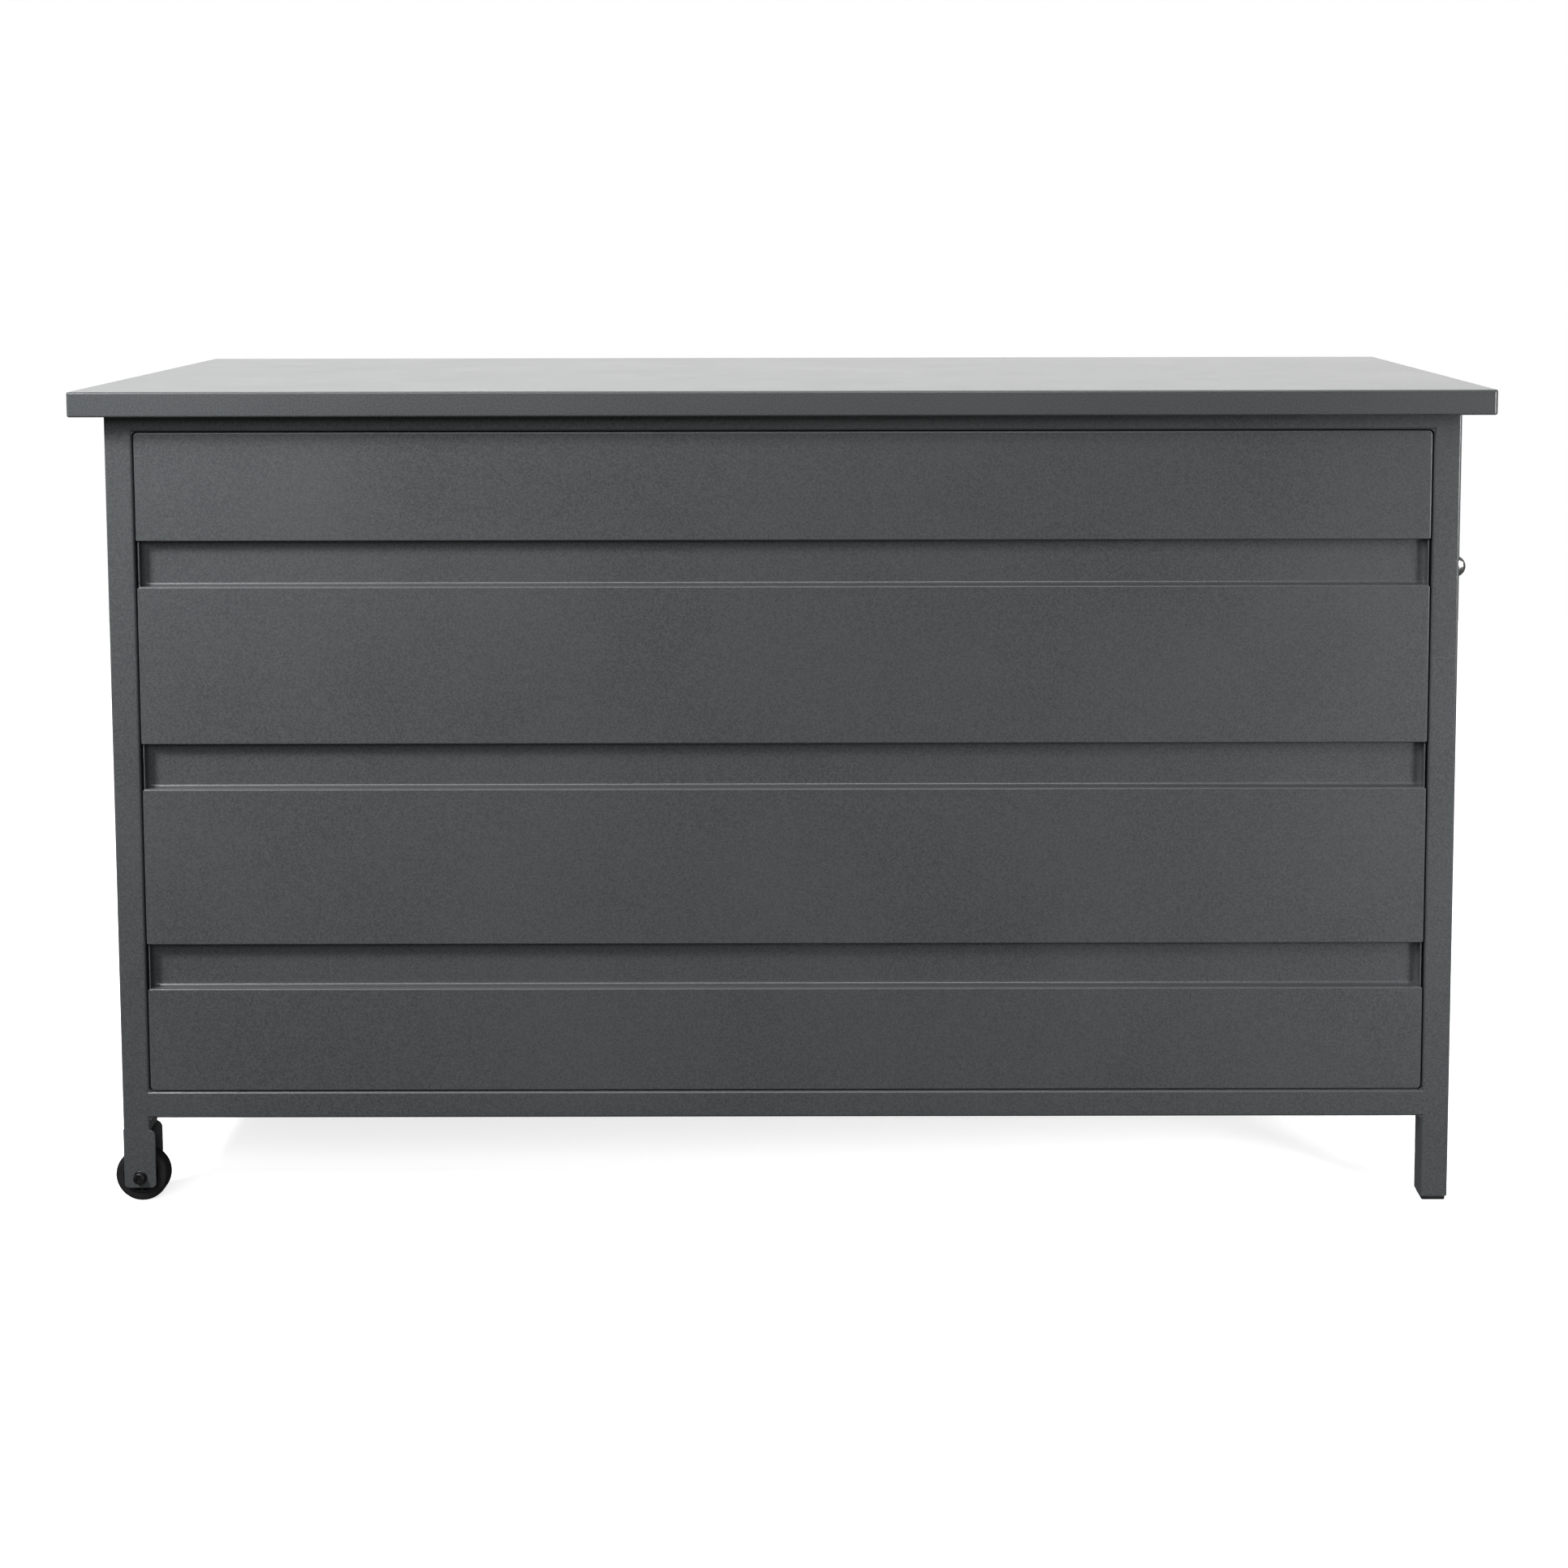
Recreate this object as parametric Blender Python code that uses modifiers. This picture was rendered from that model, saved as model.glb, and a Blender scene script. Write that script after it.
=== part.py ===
"""Low, wide four-drawer steel cabinet: a welded square-tube frame under an overhanging worktop, wheels
under its left end, a lifting handle on its right end, and drawers on telescopic slides.

Metres, +Z up, front towards -Y, +X to the right. The origin is on the floor, under the middle of the box.
"""
import math

import bmesh
import bpy
from mathutils import Vector

MM = 0.001

# Overall size
HEIGHT = 900 * MM
TOP_WIDTH = 1520 * MM
TOP_DEPTH = 600 * MM
TOP_SKIRT = 27 * MM
OVERHANG = 30 * MM
GAP = 0.3 * MM

# Frame
TUBE = 30 * MM
TUBE_WALL = 1.5 * MM
TUBE_CORNER = 3 * MM
CORNER_STEPS = 3
BASE_RAIL_Z = 96 * MM
TOP_RAIL_Z = 855 * MM
SHEET = 1.2 * MM
TOP_SHEET = 1.5 * MM
PANEL_INSET = 2 * MM
BEARER_WIDTH = 40 * MM
BEARER_PITCH = 450 * MM
BASE_PAN_Z = 110 * MM

# Drawer fronts, from the bottom up, and the finger channels between them
FRONT_HEIGHTS = {4: 114.5 * MM, 3: 173 * MM, 2: 173 * MM, 1: 118 * MM}
FRONT_BOTTOM_GAP = 1.2 * MM
FRONT_SIDE_GAP = 1.5 * MM
FRONT_FOLD = 12 * MM
CHANNEL_HEIGHT = 49.5 * MM
CHANNEL_DEPTH = 13 * MM
CHANNEL_TOP_GAP = 1 * MM
CHANNEL_FLANGE = 10 * MM

# Trays and slides
TRAY_FLOOR_GAP = 6 * MM
TRAY_RIM_GAP = 6 * MM
TOP_TRAY_RIM_GAP = 15 * MM
TRAY_BACK_GAP = 5 * MM
SLIDE_SPACE = 13 * MM
SLIDE_HEIGHT = 46 * MM
SLIDE_LENGTH = 480 * MM
SLIDE_STEEL = 1.2 * MM
SLIDE_DEPTH = 10 * MM
SLIDE_NEST = 0.8 * MM
SLIDE_STEP = 2.2 * MM

# Wheels
WHEEL_RADIUS = 29 * MM
WHEEL_WIDTH = 20 * MM
RIM_RADIUS = 20 * MM
HUB_WIDTH = 22 * MM
BOSS_RADIUS = 8 * MM
WEB_WIDTH = 7 * MM
RIM_WALL = 3 * MM
RIM_RECESS = 2 * MM
TYRE_SHOULDER = 4 * MM
BORE_RADIUS = 4.4 * MM
FORK_WIDTH = 35 * MM
FORK_BOTTOM = 17 * MM
FORK_TOP = 83 * MM
FORK_STEEL = 3 * MM
FORK_CORNER = 5 * MM
BOLT_RADIUS = 4 * MM
BOLT_HEAD_RADIUS = 6 * MM
BOLT_HEAD_HEIGHT = 4.5 * MM
BOLT_FLANGE_RADIUS = 7.5 * MM
BOLT_FLANGE = 1.5 * MM
BOLT_EDGE = 1 * MM
BOLT_TAIL = 8 * MM
SOCKET_RADIUS = 3 * MM
SOCKET_DEPTH = 2.5 * MM

# Foot glides
GLIDE_WIDTH = 26 * MM
GLIDE_HEIGHT = 5 * MM
GLIDE_CHAMFER = 1.5 * MM
PLUG_WIDTH = 24.4 * MM
PLUG_HEIGHT = 12 * MM

# Lifting handle
HANDLE_REACH = 52 * MM
HANDLE_RADIUS = 12.5 * MM
HANDLE_LENGTH = 200 * MM
HANDLE_Z = 681 * MM
POST_RADIUS = 6 * MM
POST_FOOT_RADIUS = 11 * MM
POST_FOOT = 3 * MM
POST_SPACING = 140 * MM

# Worked out from the sizes above
BODY_WIDTH = TOP_WIDTH - 2 * OVERHANG
BODY_DEPTH = TOP_DEPTH - 2 * OVERHANG
BODY_X = -(HANDLE_REACH - OVERHANG) / 2
HALF_WIDTH = BODY_WIDTH / 2
HALF_DEPTH = BODY_DEPTH / 2
INNER_X = HALF_WIDTH - TUBE
INNER_Y = HALF_DEPTH - TUBE
FIELD_BOTTOM = BASE_RAIL_Z + TUBE
TOP_RAIL_TOP = TOP_RAIL_Z + TUBE
AXLE_X = -HALF_WIDTH + FORK_WIDTH / 2
TRAY_FRONT_Y = -HALF_DEPTH + CHANNEL_DEPTH + SHEET + GAP
TRAY_BACK_Y = INNER_Y - TRAY_BACK_GAP
TRAY_HALF_WIDTH = INNER_X - SLIDE_SPACE
SIDES = {"left": -1, "right": 1}
ENDS = {"front": -1, "rear": 1}

# Colours, linear: steel paint, slide zinc, stainless, rubber, plastic
PAINT = ((0.085, 0.093, 0.096), 0.5, 0.0)
ZINC = ((0.55, 0.56, 0.57), 0.35, 1.0)
STAINLESS = ((0.62, 0.61, 0.59), 0.2, 1.0)
RUBBER = ((0.012, 0.012, 0.013), 0.8, 0.0)
PLASTIC = ((0.015, 0.015, 0.016), 0.45, 0.0)
BLACK_STEEL = ((0.02, 0.02, 0.021), 0.35, 1.0)


def clear_scene():
    for obj in list(bpy.data.objects):
        bpy.data.objects.remove(obj)


def new_collection(name, hidden=False):
    collection = bpy.data.collections.new(name)
    bpy.context.scene.collection.children.link(collection)
    collection.hide_render = hidden
    return collection


def material(name, finish):
    colour, roughness, metallic = finish
    made = bpy.data.materials.new(name)
    made.use_nodes = True
    shader = made.node_tree.nodes["Principled BSDF"]
    shader.inputs["Base Color"].default_value = (*colour, 1)
    shader.inputs["Roughness"].default_value = roughness
    shader.inputs["Metallic"].default_value = metallic
    return made


def empty(name, location, parent=None):
    made = bpy.data.objects.new(name, None)
    made.location = location
    made.parent = parent
    PARTS.objects.link(made)
    return made


def place(name, data, finish, location, parent, rotation=(0, 0, 0)):
    """A part at a location in the cabinet's own frame, whatever its parent is."""
    obj = bpy.data.objects.new(name, data)
    data.materials.append(material(name, finish))
    obj.location = Vector(location) - (parent.location if parent is not CABINET else Vector())
    obj.rotation_euler = rotation
    obj.parent = parent
    PARTS.objects.link(obj)
    return obj


def cube_mesh(size):
    shape = bmesh.new()
    bmesh.ops.create_cube(shape, size=1)
    bmesh.ops.scale(shape, vec=size, verts=shape.verts)
    return shape


def finish_mesh(name, shape):
    data = bpy.data.meshes.new(name)
    shape.to_mesh(data)
    shape.free()
    return data


def middle(low, high):
    return [(a + b) / 2 for a, b in zip(low, high)]


def size_of(low, high):
    return [b - a for a, b in zip(low, high)]


def plate(name, low, high, finish, parent):
    shape = cube_mesh(size_of(low, high))
    return place(name, finish_mesh(name, shape), finish, middle(low, high), parent)


def open_box(shape, open_sides):
    """Removes the faces of a box that look along the given directions."""
    shape.normal_update()
    gone = [f for f in shape.faces if any(f.normal.dot(Vector(side)) > 0.9 for side in open_sides)]
    bmesh.ops.delete(shape, geom=gone, context="FACES_ONLY")


def add_wall(obj, thickness, offset=-1):
    """Gives an open surface a wall, on its inner side unless the offset is 1."""
    wall = obj.modifiers.new("wall", "SOLIDIFY")
    wall.thickness = thickness
    wall.offset = offset
    wall.use_even_offset = True


def folded_sheet(name, low, high, open_sides, thickness, finish, parent):
    shape = cube_mesh(size_of(low, high))
    open_box(shape, open_sides)
    obj = place(name, finish_mesh(name, shape), finish, middle(low, high), parent)
    add_wall(obj, thickness)


def outline_curve(name, outlines, length):
    """A bar of the given length whose section is the outlines, in X and Y."""
    curve = bpy.data.curves.new(name, "CURVE")
    curve.dimensions = "2D"
    curve.fill_mode = "BOTH"
    curve.extrude = length / 2
    for outline in outlines:
        spline = curve.splines.new("POLY")
        spline.points.add(len(outline) - 1)
        for point, (x, y) in zip(spline.points, outline):
            point.co = (x, y, 0, 1)
        spline.use_cyclic_u = True
    return curve


def rounded_square(width, radius):
    points = []
    inner = width / 2 - radius
    for quarter in range(4):
        centre_angle = math.pi / 4 + quarter * math.pi / 2
        centre_x = math.copysign(inner, math.cos(centre_angle))
        centre_y = math.copysign(inner, math.sin(centre_angle))
        for step in range(CORNER_STEPS + 1):
            angle = quarter * math.pi / 2 + step / CORNER_STEPS * math.pi / 2
            points.append((centre_x + radius * math.cos(angle), centre_y + radius * math.sin(angle)))
    return points


ALONG = {"x": (0, math.pi / 2, 0), "y": (math.pi / 2, 0, 0), "z": (0, 0, 0)}


def square_tube(name, centre, length, along):
    outlines = [
        rounded_square(TUBE, TUBE_CORNER),
        rounded_square(TUBE - 2 * TUBE_WALL, TUBE_CORNER - TUBE_WALL),
    ]
    return place(name, outline_curve(name, outlines, length), PAINT, centre, CABINET, ALONG[along])


def turned(name, profile, steps, finish, centre, parent, rotation, closed=False):
    """A turned part: the profile runs down its outer side in X and Z, round the local Z axis."""
    data = bpy.data.meshes.new(name)
    edges = [(i, i + 1) for i in range(len(profile) - 1)]
    if closed:
        edges.append((len(profile) - 1, 0))
    data.from_pydata([(x, 0, z) for x, z in profile], edges, [])
    obj = place(name, data, finish, centre, parent, rotation)
    screw = obj.modifiers.new("turn", "SCREW")
    screw.steps = steps
    screw.render_steps = steps
    screw.use_smooth_shade = True
    screw.use_merge_vertices = True
    screw.merge_threshold = 0.00001
    return obj


def frame_tubes():
    leg_top = TOP_RAIL_TOP
    for side, x in SIDES.items():
        foot = FORK_TOP + GAP if side == "left" else GLIDE_HEIGHT + GAP
        for end, y in ENDS.items():
            centre = (x * (HALF_WIDTH - TUBE / 2), y * (HALF_DEPTH - TUBE / 2), (foot + leg_top) / 2)
            square_tube(f"leg_{end}_{side}", centre, leg_top - foot, "z")
    for level, z in (("base", BASE_RAIL_Z), ("top", TOP_RAIL_Z)):
        for end, y in ENDS.items():
            centre = (0, y * (HALF_DEPTH - TUBE / 2), z + TUBE / 2)
            square_tube(f"{level}_rail_{end}", centre, 2 * (INNER_X - GAP), "x")
        for side, x in SIDES.items():
            centre = (x * (HALF_WIDTH - TUBE / 2), 0, z + TUBE / 2)
            square_tube(f"{level}_rail_{side}", centre, 2 * (INNER_Y - GAP), "y")


def skin_panels():
    bottom, top = FIELD_BOTTOM + GAP, TOP_RAIL_Z - GAP
    outer = HALF_WIDTH - PANEL_INSET
    reach_x, reach_y = INNER_X - GAP, INNER_Y - GAP
    plate("side_panel_right", (outer - SHEET, -reach_y, bottom), (outer, reach_y, top), PAINT, CABINET)
    plate("side_panel_left", (-outer, -reach_y, bottom), (-outer + SHEET, reach_y, top), PAINT, CABINET)
    back = HALF_DEPTH - PANEL_INSET
    plate("rear_panel", (-reach_x, back - SHEET, bottom), (reach_x, back, top), PAINT, CABINET)
    pan_top = BASE_PAN_Z + SHEET
    plate("base_pan", (-reach_x, -reach_y, BASE_PAN_Z), (reach_x, reach_y, pan_top), PAINT, CABINET)


def worktop():
    low = (-TOP_WIDTH / 2, -TOP_DEPTH / 2, HEIGHT - TOP_SKIRT)
    high = (TOP_WIDTH / 2, TOP_DEPTH / 2, HEIGHT)
    folded_sheet("worktop", low, high, [(0, 0, -1)], TOP_SHEET, PAINT, CABINET)
    for name, x in (("left", -BEARER_PITCH), ("middle", 0), ("right", BEARER_PITCH)):
        low = (x - BEARER_WIDTH / 2, -HALF_DEPTH, TOP_RAIL_TOP + GAP)
        high = (x + BEARER_WIDTH / 2, HALF_DEPTH, HEIGHT - TOP_SHEET - GAP)
        node = f"worktop_bearer_{name}"
        folded_sheet(node, low, high, [(0, -1, 0), (0, 1, 0), (0, 0, -1)], TOP_SHEET, PAINT, CABINET)


def front_levels():
    """The bottom and top of each drawer front."""
    levels = {}
    bottom = FIELD_BOTTOM + FRONT_BOTTOM_GAP
    for number, height in FRONT_HEIGHTS.items():
        levels[number] = (bottom, bottom + height)
        bottom += height + CHANNEL_HEIGHT
    return levels


def finger_channel(number, top, parent):
    """The ledge behind a front's top edge, the strip at its back, two end walls and a flange down."""
    half = INNER_X - FRONT_SIDE_GAP - 2 * SHEET - GAP
    low = (-half, -HALF_DEPTH + SHEET + GAP, top)
    high = (half, -HALF_DEPTH + CHANNEL_DEPTH, top + CHANNEL_HEIGHT - CHANNEL_TOP_GAP)
    name = f"drawer_{number}_channel"
    shape = cube_mesh(size_of(low, high))
    open_box(shape, [(0, -1, 0), (0, 0, 1)])
    front_edge = [e for e in shape.edges if all(v.co.y < 0 and v.co.z < 0 for v in e.verts)]
    made = bmesh.ops.extrude_edge_only(shape, edges=front_edge)
    moved = [v for v in made["geom"] if isinstance(v, bmesh.types.BMVert)]
    bmesh.ops.translate(shape, verts=moved, vec=(0, 0, -CHANNEL_FLANGE))
    bmesh.ops.recalc_face_normals(shape, faces=shape.faces)
    strip = max(shape.faces, key=lambda f: f.calc_center_median().y)
    if strip.normal.y < 0:
        bmesh.ops.reverse_faces(shape, faces=shape.faces)
    obj = place(name, finish_mesh(name, shape), PAINT, middle(low, high), parent)
    add_wall(obj, SHEET, offset=1)


def drawer(number, bottom, top, rim):
    parent = empty(f"drawer_{number}_slide", (0, -HALF_DEPTH, (bottom + top) / 2), CABINET)
    half = INNER_X - FRONT_SIDE_GAP
    open_sides = [(0, 1, 0)] if number == 1 else [(0, 1, 0), (0, 0, 1)]
    low = (-half, -HALF_DEPTH, bottom)
    high = (half, -HALF_DEPTH + FRONT_FOLD, top)
    folded_sheet(f"drawer_{number}_front", low, high, open_sides, SHEET, PAINT, parent)
    if number > 1:
        finger_channel(number, top, parent)
    tray_front = -HALF_DEPTH + FRONT_FOLD + GAP if number == 1 else TRAY_FRONT_Y
    low = (-TRAY_HALF_WIDTH, tray_front, bottom + TRAY_FLOOR_GAP)
    high = (TRAY_HALF_WIDTH, TRAY_BACK_Y, rim)
    folded_sheet(f"drawer_{number}_tray", low, high, [(0, 0, 1)], SHEET, PAINT, parent)
    slides(number, (bottom + TRAY_FLOOR_GAP + rim) / 2)


def c_section(height, depth, side):
    """A C of folded steel, web towards the cabinet's side, open towards the drawer."""
    half = height / 2
    inner = half - SLIDE_STEEL
    points = [
        (0, -half), (depth, -half), (depth, -inner), (SLIDE_STEEL, -inner),
        (SLIDE_STEEL, inner), (depth, inner), (depth, half), (0, half),
    ]
    return [(-side * x, y) for x, y in points]


def slides(number, height):
    for side, x in SIDES.items():
        centre = (x * (INNER_X - GAP), 0, height)
        outer = outline_curve("outer", [c_section(SLIDE_HEIGHT, SLIDE_DEPTH, x)], SLIDE_LENGTH)
        place(f"slide_{number}_{side}_outer", outer, ZINC, centre, CABINET, ALONG["y"])
        nested = SLIDE_HEIGHT - 2 * (SLIDE_STEEL + SLIDE_NEST)
        section = c_section(nested, SLIDE_DEPTH - SLIDE_STEP, x)
        middle_member = outline_curve("middle", [section], SLIDE_LENGTH)
        centre = (x * (INNER_X - GAP - SLIDE_STEP), 0, height)
        place(f"slide_{number}_{side}_middle", middle_member, ZINC, centre, CABINET, ALONG["y"])


def fork(end, y, axle_z):
    """A U of flat steel under the leg: a cheek each side of the wheel, joined across the top."""
    name = f"wheel_fork_{end}"
    low = (-HALF_WIDTH, y - TUBE / 2, FORK_BOTTOM)
    high = (-HALF_WIDTH + FORK_WIDTH, y + TUBE / 2, FORK_TOP)
    shape = cube_mesh(size_of(low, high))
    open_box(shape, [(-1, 0, 0), (1, 0, 0), (0, 0, -1)])
    corners = [v for v in shape.verts if v.co.z < 0]
    bmesh.ops.bevel(
        shape, geom=corners, offset=FORK_CORNER, segments=CORNER_STEPS, profile=0.5, affect="VERTICES"
    )
    obj = place(name, finish_mesh(name, shape), PAINT, middle(low, high), CABINET)
    add_wall(obj, FORK_STEEL)
    hole = bmesh.new()
    bmesh.ops.create_cone(
        hole, cap_ends=True, segments=20, radius1=BORE_RADIUS, radius2=BORE_RADIUS, depth=2 * TUBE
    )
    cutter = bpy.data.objects.new(f"{name}_hole", finish_mesh(f"{name}_hole", hole))
    cutter.location = (AXLE_X, y, axle_z)
    cutter.rotation_euler = ALONG["y"]
    cutter.parent = CABINET
    cutter.hide_render = True
    cutter.display_type = "WIRE"
    CUTTERS.objects.link(cutter)
    cut = obj.modifiers.new("axle hole", "BOOLEAN")
    cut.object = cutter
    cut.operation = "DIFFERENCE"


def tyre_profile():
    half = WHEEL_WIDTH / 2
    side_radius = WHEEL_RADIUS - TYRE_SHOULDER
    side_height = half - TYRE_SHOULDER
    points = [(RIM_RADIUS + GAP, half - TYRE_SHOULDER / 2), (side_radius, half)]
    for step in range(1, 4):
        angle = math.pi / 2 * (1 - step / 4)
        out = TYRE_SHOULDER * math.cos(angle)
        up = TYRE_SHOULDER * math.sin(angle)
        points.append((side_radius + out, side_height + up))
    points.append((WHEEL_RADIUS, side_height))
    return points + [(x, -z) for x, z in reversed(points)]


def hub_profile():
    half_hub, half_web = HUB_WIDTH / 2, WEB_WIDTH / 2
    rim_inner = RIM_RADIUS - RIM_WALL
    half_rim = WHEEL_WIDTH / 2 - RIM_RECESS
    points = [
        (BORE_RADIUS, half_hub), (BOSS_RADIUS, half_hub), (BOSS_RADIUS, half_web),
        (rim_inner, half_web), (rim_inner, half_rim), (RIM_RADIUS, half_rim),
    ]
    return points + [(x, -z) for x, z in reversed(points)]


def bolt_profile(face, tail):
    """From the socket in the head, over the flange and down the shank to the far end."""
    head_top = face + BOLT_FLANGE + BOLT_HEAD_HEIGHT
    return [
        (0, head_top - SOCKET_DEPTH), (SOCKET_RADIUS, head_top - SOCKET_DEPTH), (SOCKET_RADIUS, head_top),
        (BOLT_HEAD_RADIUS - BOLT_EDGE, head_top), (BOLT_HEAD_RADIUS, head_top - BOLT_EDGE),
        (BOLT_HEAD_RADIUS, face + BOLT_FLANGE), (BOLT_FLANGE_RADIUS, face + BOLT_FLANGE),
        (BOLT_FLANGE_RADIUS, face), (BOLT_RADIUS, face), (BOLT_RADIUS, tail), (0, tail),
    ]


def wheels():
    axle_z = WHEEL_RADIUS
    for end, sign in ENDS.items():
        y = sign * (HALF_DEPTH - TUBE / 2)
        fork(end, y, axle_z)
        centre = (AXLE_X, y, axle_z)
        axis = empty(f"wheel_{end}_axis", centre, CABINET)
        turned(f"wheel_{end}_tyre", tyre_profile(), 40, RUBBER, centre, axis, ALONG["y"], closed=True)
        turned(f"wheel_{end}_hub", hub_profile(), 32, PLASTIC, centre, axis, ALONG["y"], closed=True)
        outward = (-sign * math.pi / 2, 0, 0)
        face = TUBE / 2 + GAP
        tail = -TUBE / 2 - BOLT_TAIL
        turned(f"axle_bolt_{end}", bolt_profile(face, tail), 24, BLACK_STEEL, centre, CABINET, outward)


def glides():
    """A plug inside the leg's tube over a wider foot with a chamfered edge."""
    for end, sign in ENDS.items():
        name = f"foot_glide_{end}"
        size = (GLIDE_WIDTH, GLIDE_WIDTH, GLIDE_HEIGHT)
        shape = cube_mesh(size)
        rim = [e for e in shape.edges if all(v.co.z < 0 for v in e.verts)]
        bmesh.ops.bevel(shape, geom=rim, offset=GLIDE_CHAMFER, segments=2, profile=0.5, affect="EDGES")
        shape.normal_update()
        top = [f for f in shape.faces if f.normal.z > 0.9]
        bmesh.ops.inset_region(shape, faces=top, thickness=(GLIDE_WIDTH - PLUG_WIDTH) / 2)
        made = bmesh.ops.extrude_face_region(shape, geom=top)
        moved = [v for v in made["geom"] if isinstance(v, bmesh.types.BMVert)]
        bmesh.ops.translate(shape, verts=moved, vec=(0, 0, PLUG_HEIGHT))
        bmesh.ops.delete(shape, geom=top, context="FACES")
        centre = (HALF_WIDTH - TUBE / 2, sign * (HALF_DEPTH - TUBE / 2), GLIDE_HEIGHT / 2)
        place(name, finish_mesh(name, shape), PLASTIC, centre, CABINET)


def handle():
    bar_x = HALF_WIDTH + HANDLE_REACH - HANDLE_RADIUS
    half = HANDLE_LENGTH / 2
    straight = half - HANDLE_RADIUS
    steps = 6
    dome = []
    for step in range(steps + 1):
        angle = math.pi / 2 * (1 - step / steps)
        dome.append((HANDLE_RADIUS * math.cos(angle), straight + HANDLE_RADIUS * math.sin(angle)))
    dome[0] = (0, half)
    profile = dome + [(x, -z) for x, z in reversed(dome)]
    turned("handle_bar", profile, 28, STAINLESS, (bar_x, 0, HANDLE_Z), CABINET, ALONG["y"])
    panel = HALF_WIDTH - PANEL_INSET + GAP
    length = bar_x - HANDLE_RADIUS - GAP - panel
    post = [
        (0, length), (POST_RADIUS, length), (POST_RADIUS, POST_FOOT),
        (POST_FOOT_RADIUS, POST_FOOT), (POST_FOOT_RADIUS, 0), (0, 0),
    ]
    for end, sign in ENDS.items():
        centre = (panel, sign * POST_SPACING / 2, HANDLE_Z)
        turned(f"handle_post_{end}", post, 20, STAINLESS, centre, CABINET, ALONG["x"])


clear_scene()
PARTS = new_collection("drawer_cabinet")
CUTTERS = new_collection("cutters", hidden=True)
CABINET = empty("cabinet", (BODY_X, 0, 0))
frame_tubes()
skin_panels()
worktop()
for drawer_number, (front_bottom, front_top) in front_levels().items():
    if drawer_number == 1:
        tray_rim = front_top - TOP_TRAY_RIM_GAP
    else:
        tray_rim = front_top + CHANNEL_HEIGHT - TRAY_RIM_GAP
    drawer(drawer_number, front_bottom, front_top, tray_rim)
wheels()
glides()
handle()
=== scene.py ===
"""Looks of the low four-drawer steel cabinet: powder-coated folded sheet on a welded square-tube frame,
wheels under its left end, a polished lifting handle on its right end, and zinc-plated telescopic slides.

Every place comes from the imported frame. Front is towards -Y, +X to the right, and lengths are in metres.
"""
import math

import bmesh
import bpy
from mathutils import Matrix, Vector


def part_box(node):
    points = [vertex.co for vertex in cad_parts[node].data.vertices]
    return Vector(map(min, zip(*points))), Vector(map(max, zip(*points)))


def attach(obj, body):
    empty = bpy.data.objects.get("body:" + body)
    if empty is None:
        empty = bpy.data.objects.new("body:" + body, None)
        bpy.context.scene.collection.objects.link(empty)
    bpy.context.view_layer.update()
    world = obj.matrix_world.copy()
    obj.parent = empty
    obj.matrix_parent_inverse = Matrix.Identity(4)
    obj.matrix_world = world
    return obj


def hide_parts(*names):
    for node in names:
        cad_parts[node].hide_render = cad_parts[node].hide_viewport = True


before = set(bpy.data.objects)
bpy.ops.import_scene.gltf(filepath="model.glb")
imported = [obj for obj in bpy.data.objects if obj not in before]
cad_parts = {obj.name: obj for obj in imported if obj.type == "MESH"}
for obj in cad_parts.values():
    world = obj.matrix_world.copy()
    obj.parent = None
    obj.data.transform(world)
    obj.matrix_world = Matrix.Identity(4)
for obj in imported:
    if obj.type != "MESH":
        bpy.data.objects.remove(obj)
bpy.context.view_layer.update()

MM = 0.001

# Steps in a bend's and a corner's quarter turn, and the angles at which two faces make an edge
BEND_STEPS = 5
CORNER_STEPS = 6
CROWN_STEPS = 8
CROWN_START = math.radians(4)
FOLD_ANGLE = math.radians(30)
SHARP_ANGLE = math.radians(50)
CUT_ANGLE = math.radians(60)
SMALLEST_CORNER = 0.2 * MM

# Sheet metal
SHEET = 1.2 * MM
TOP_SHEET = 1.5 * MM
CUT_EDGE = 0.3 * MM
PAN_BEND = 1.6 * MM
CHANNEL_BEND = 3 * MM
CHANNEL_END_BEND = 5 * MM
TOP_EDGE = 2.2 * MM
TOP_CORNER = 4 * MM
TOP_RETURN = 12 * MM
PANEL_RETURN = 9 * MM
TRAY_BEND = 2.2 * MM

# Welded frame
TUBE = 30 * MM
TUBE_CORNER = 3 * MM
WELD_RADIUS = 4.5 * MM
WELD_SETBACK = 0.5 * MM
OUTER_FRONT_CORNER = 5 * MM
INNER_FRONT_CORNER = 2 * MM

# Slides
SLIDE_STEEL = 1.2 * MM
SLIDE_BEND = 2.4 * MM
INNER_SLIDE_HEIGHT = 36 * MM
INNER_SLIDE_DEPTH = 8 * MM
SLIDE_GAP = 0.3 * MM
SCREW_RADIUS = 3.2 * MM
SCREW_HEIGHT = 1.4 * MM
SCREW_PITCH = 192 * MM

# Wheels and their forks
FORK_STEEL = 3 * MM
FORK_SHOULDER = 8 * MM
FORK_CORNER = 5 * MM
FORK_EDGE = 0.6 * MM
TYRE_SHOULDER = 4 * MM
MOULD_LINE = 0.3 * MM
RIM_RADIUS = 19.8 * MM
RIM_RECESS = 1 * MM
RIM_WALL = 2 * MM
MOULD_DRAFT = 1 * MM
BOSS_RADIUS = 8 * MM
BOSS_EDGE = 0.5 * MM
BORE_RADIUS = 4.4 * MM
WEB_HALF = 5 * MM
HUB_RIBS = 8
RIB_WIDTH = 2 * MM
BOLT_RADIUS = 4 * MM
BOLT_FLANGE_RADIUS = 7.5 * MM
BOLT_FLANGE = 1.5 * MM
BOLT_HEAD_RADIUS = 6 * MM
SOCKET_RADIUS = 3.1 * MM
SOCKET_DEPTH = 2.6 * MM
NUT_RADIUS = 7.4 * MM
NUT_HEIGHT = 6 * MM
NUT_CHAMFER = 0.8 * MM
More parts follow.
